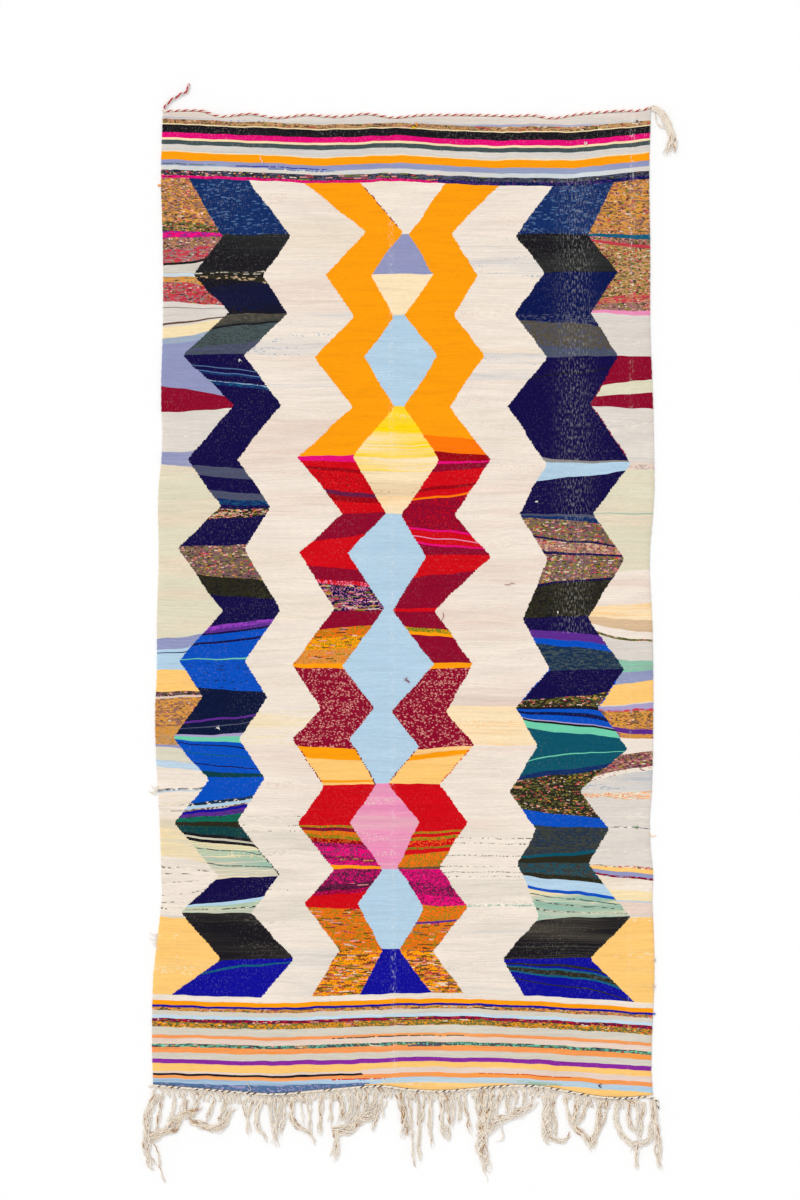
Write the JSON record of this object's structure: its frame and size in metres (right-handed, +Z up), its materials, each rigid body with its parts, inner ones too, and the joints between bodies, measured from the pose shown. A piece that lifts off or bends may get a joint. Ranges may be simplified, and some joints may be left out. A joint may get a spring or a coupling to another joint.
{
  "type": "boucherouite rug",
  "caption": "Flat-woven boucherouite rug of rag and yarn, with zigzag bands between stripes, twined end cords and a knotted warp fringe, lying flat.",
  "frame": {"origin": "middle of the woven body, on its underside, where it rests on the floor", "axes": "+Y along the warps towards the twined heading, +X towards the right selvedge seen from above, +Z up out of the upper face"},
  "size_m": [1.5967, 3.3006, 0.0114],
  "materials": {
    "rag_weave": "matt weft-faced weave of rag strips and yarn in many colours",
    "heading_yarn": "matt plied yarn, red and cream",
    "twining_yarn": "matt plied yarn, dark blue and cream",
    "warp_yarn": "matt undyed cotton warp yarn"
  },
  "bodies": {
    "root": {"woven_body": "rag_weave", "heading_cord": "heading_yarn", "end_twining": "twining_yarn", "warp_fringe": "warp_yarn", "left_corner_tail": "heading_yarn", "right_corner_tassel": "warp_yarn"}
  },
  "joints": []
}
